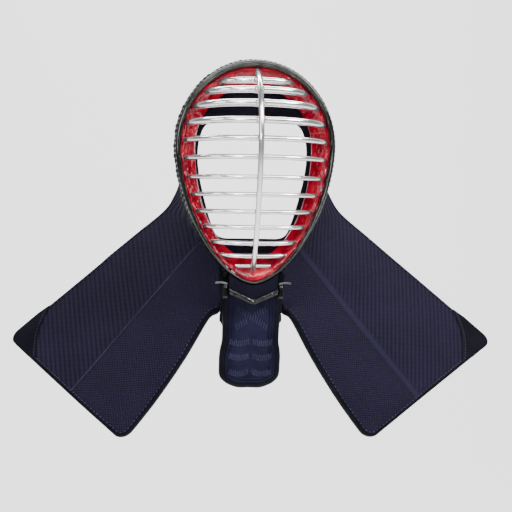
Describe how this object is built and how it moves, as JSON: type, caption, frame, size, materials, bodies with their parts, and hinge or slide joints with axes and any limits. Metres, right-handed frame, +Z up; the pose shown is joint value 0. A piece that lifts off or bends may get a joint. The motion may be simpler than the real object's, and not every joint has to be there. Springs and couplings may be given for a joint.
{
  "type": "kendo head guard",
  "caption": "Kendo head guard: welded steel face grille in a black rim with a red lacquered collar, padded face ring, long quilted pad with two shoulder flaps, and a throat guard.",
  "frame": {"origin": "at mount head_seat, on the underside of the pad's crown, where the head carries the guard", "axes": "+Z up, the face grille looks along -Y, +X is to the right of someone who looks at the grille, along the spread of the shoulder flaps"},
  "size_m": [0.6336, 0.2412, 0.4629],
  "materials": {
    "steel": "polished",
    "black_lacquer": "glossy lacquered rawhide",
    "red_lacquer": "glossy lacquered rawhide",
    "navy_cotton": "quilted indigo cotton",
    "dark_cotton": "matt indigo cotton",
    "navy_leather": "matt indigo leather",
    "thong": "grey thong"
  },
  "bodies": {
    "root": {"upright_bar": "steel", "cross_bar_01": "steel", "cross_bar_02": "steel", "cross_bar_03": "steel", "cross_bar_04": "steel", "cross_bar_05": "steel", "cross_bar_06": "steel", "cross_bar_07": "steel", "cross_bar_08": "steel", "cross_bar_09": "steel", "cross_bar_10": "steel", "cross_bar_11": "steel", "cross_bar_12": "steel", "cross_bar_13": "steel", "rawhide_rim": "black_lacquer", "lacquer_collar": "red_lacquer", "face_cushion": "dark_cotton", "quilted_pad": "navy_cotton", "edge_binding": "navy_leather", "corner_patch_left": "navy_leather", "corner_patch_right": "navy_leather", "throat_guard": "navy_leather", "throat_guard_border": "navy_leather", "inner_throat_flap": "dark_cotton", "chin_panel": "navy_cotton", "chin_band": "black_lacquer", "chin_tab_left": "black_lacquer", "chin_tab_right": "black_lacquer", "lace_end_left": "thong", "lace_end_right": "thong"}
  },
  "joints": []
}
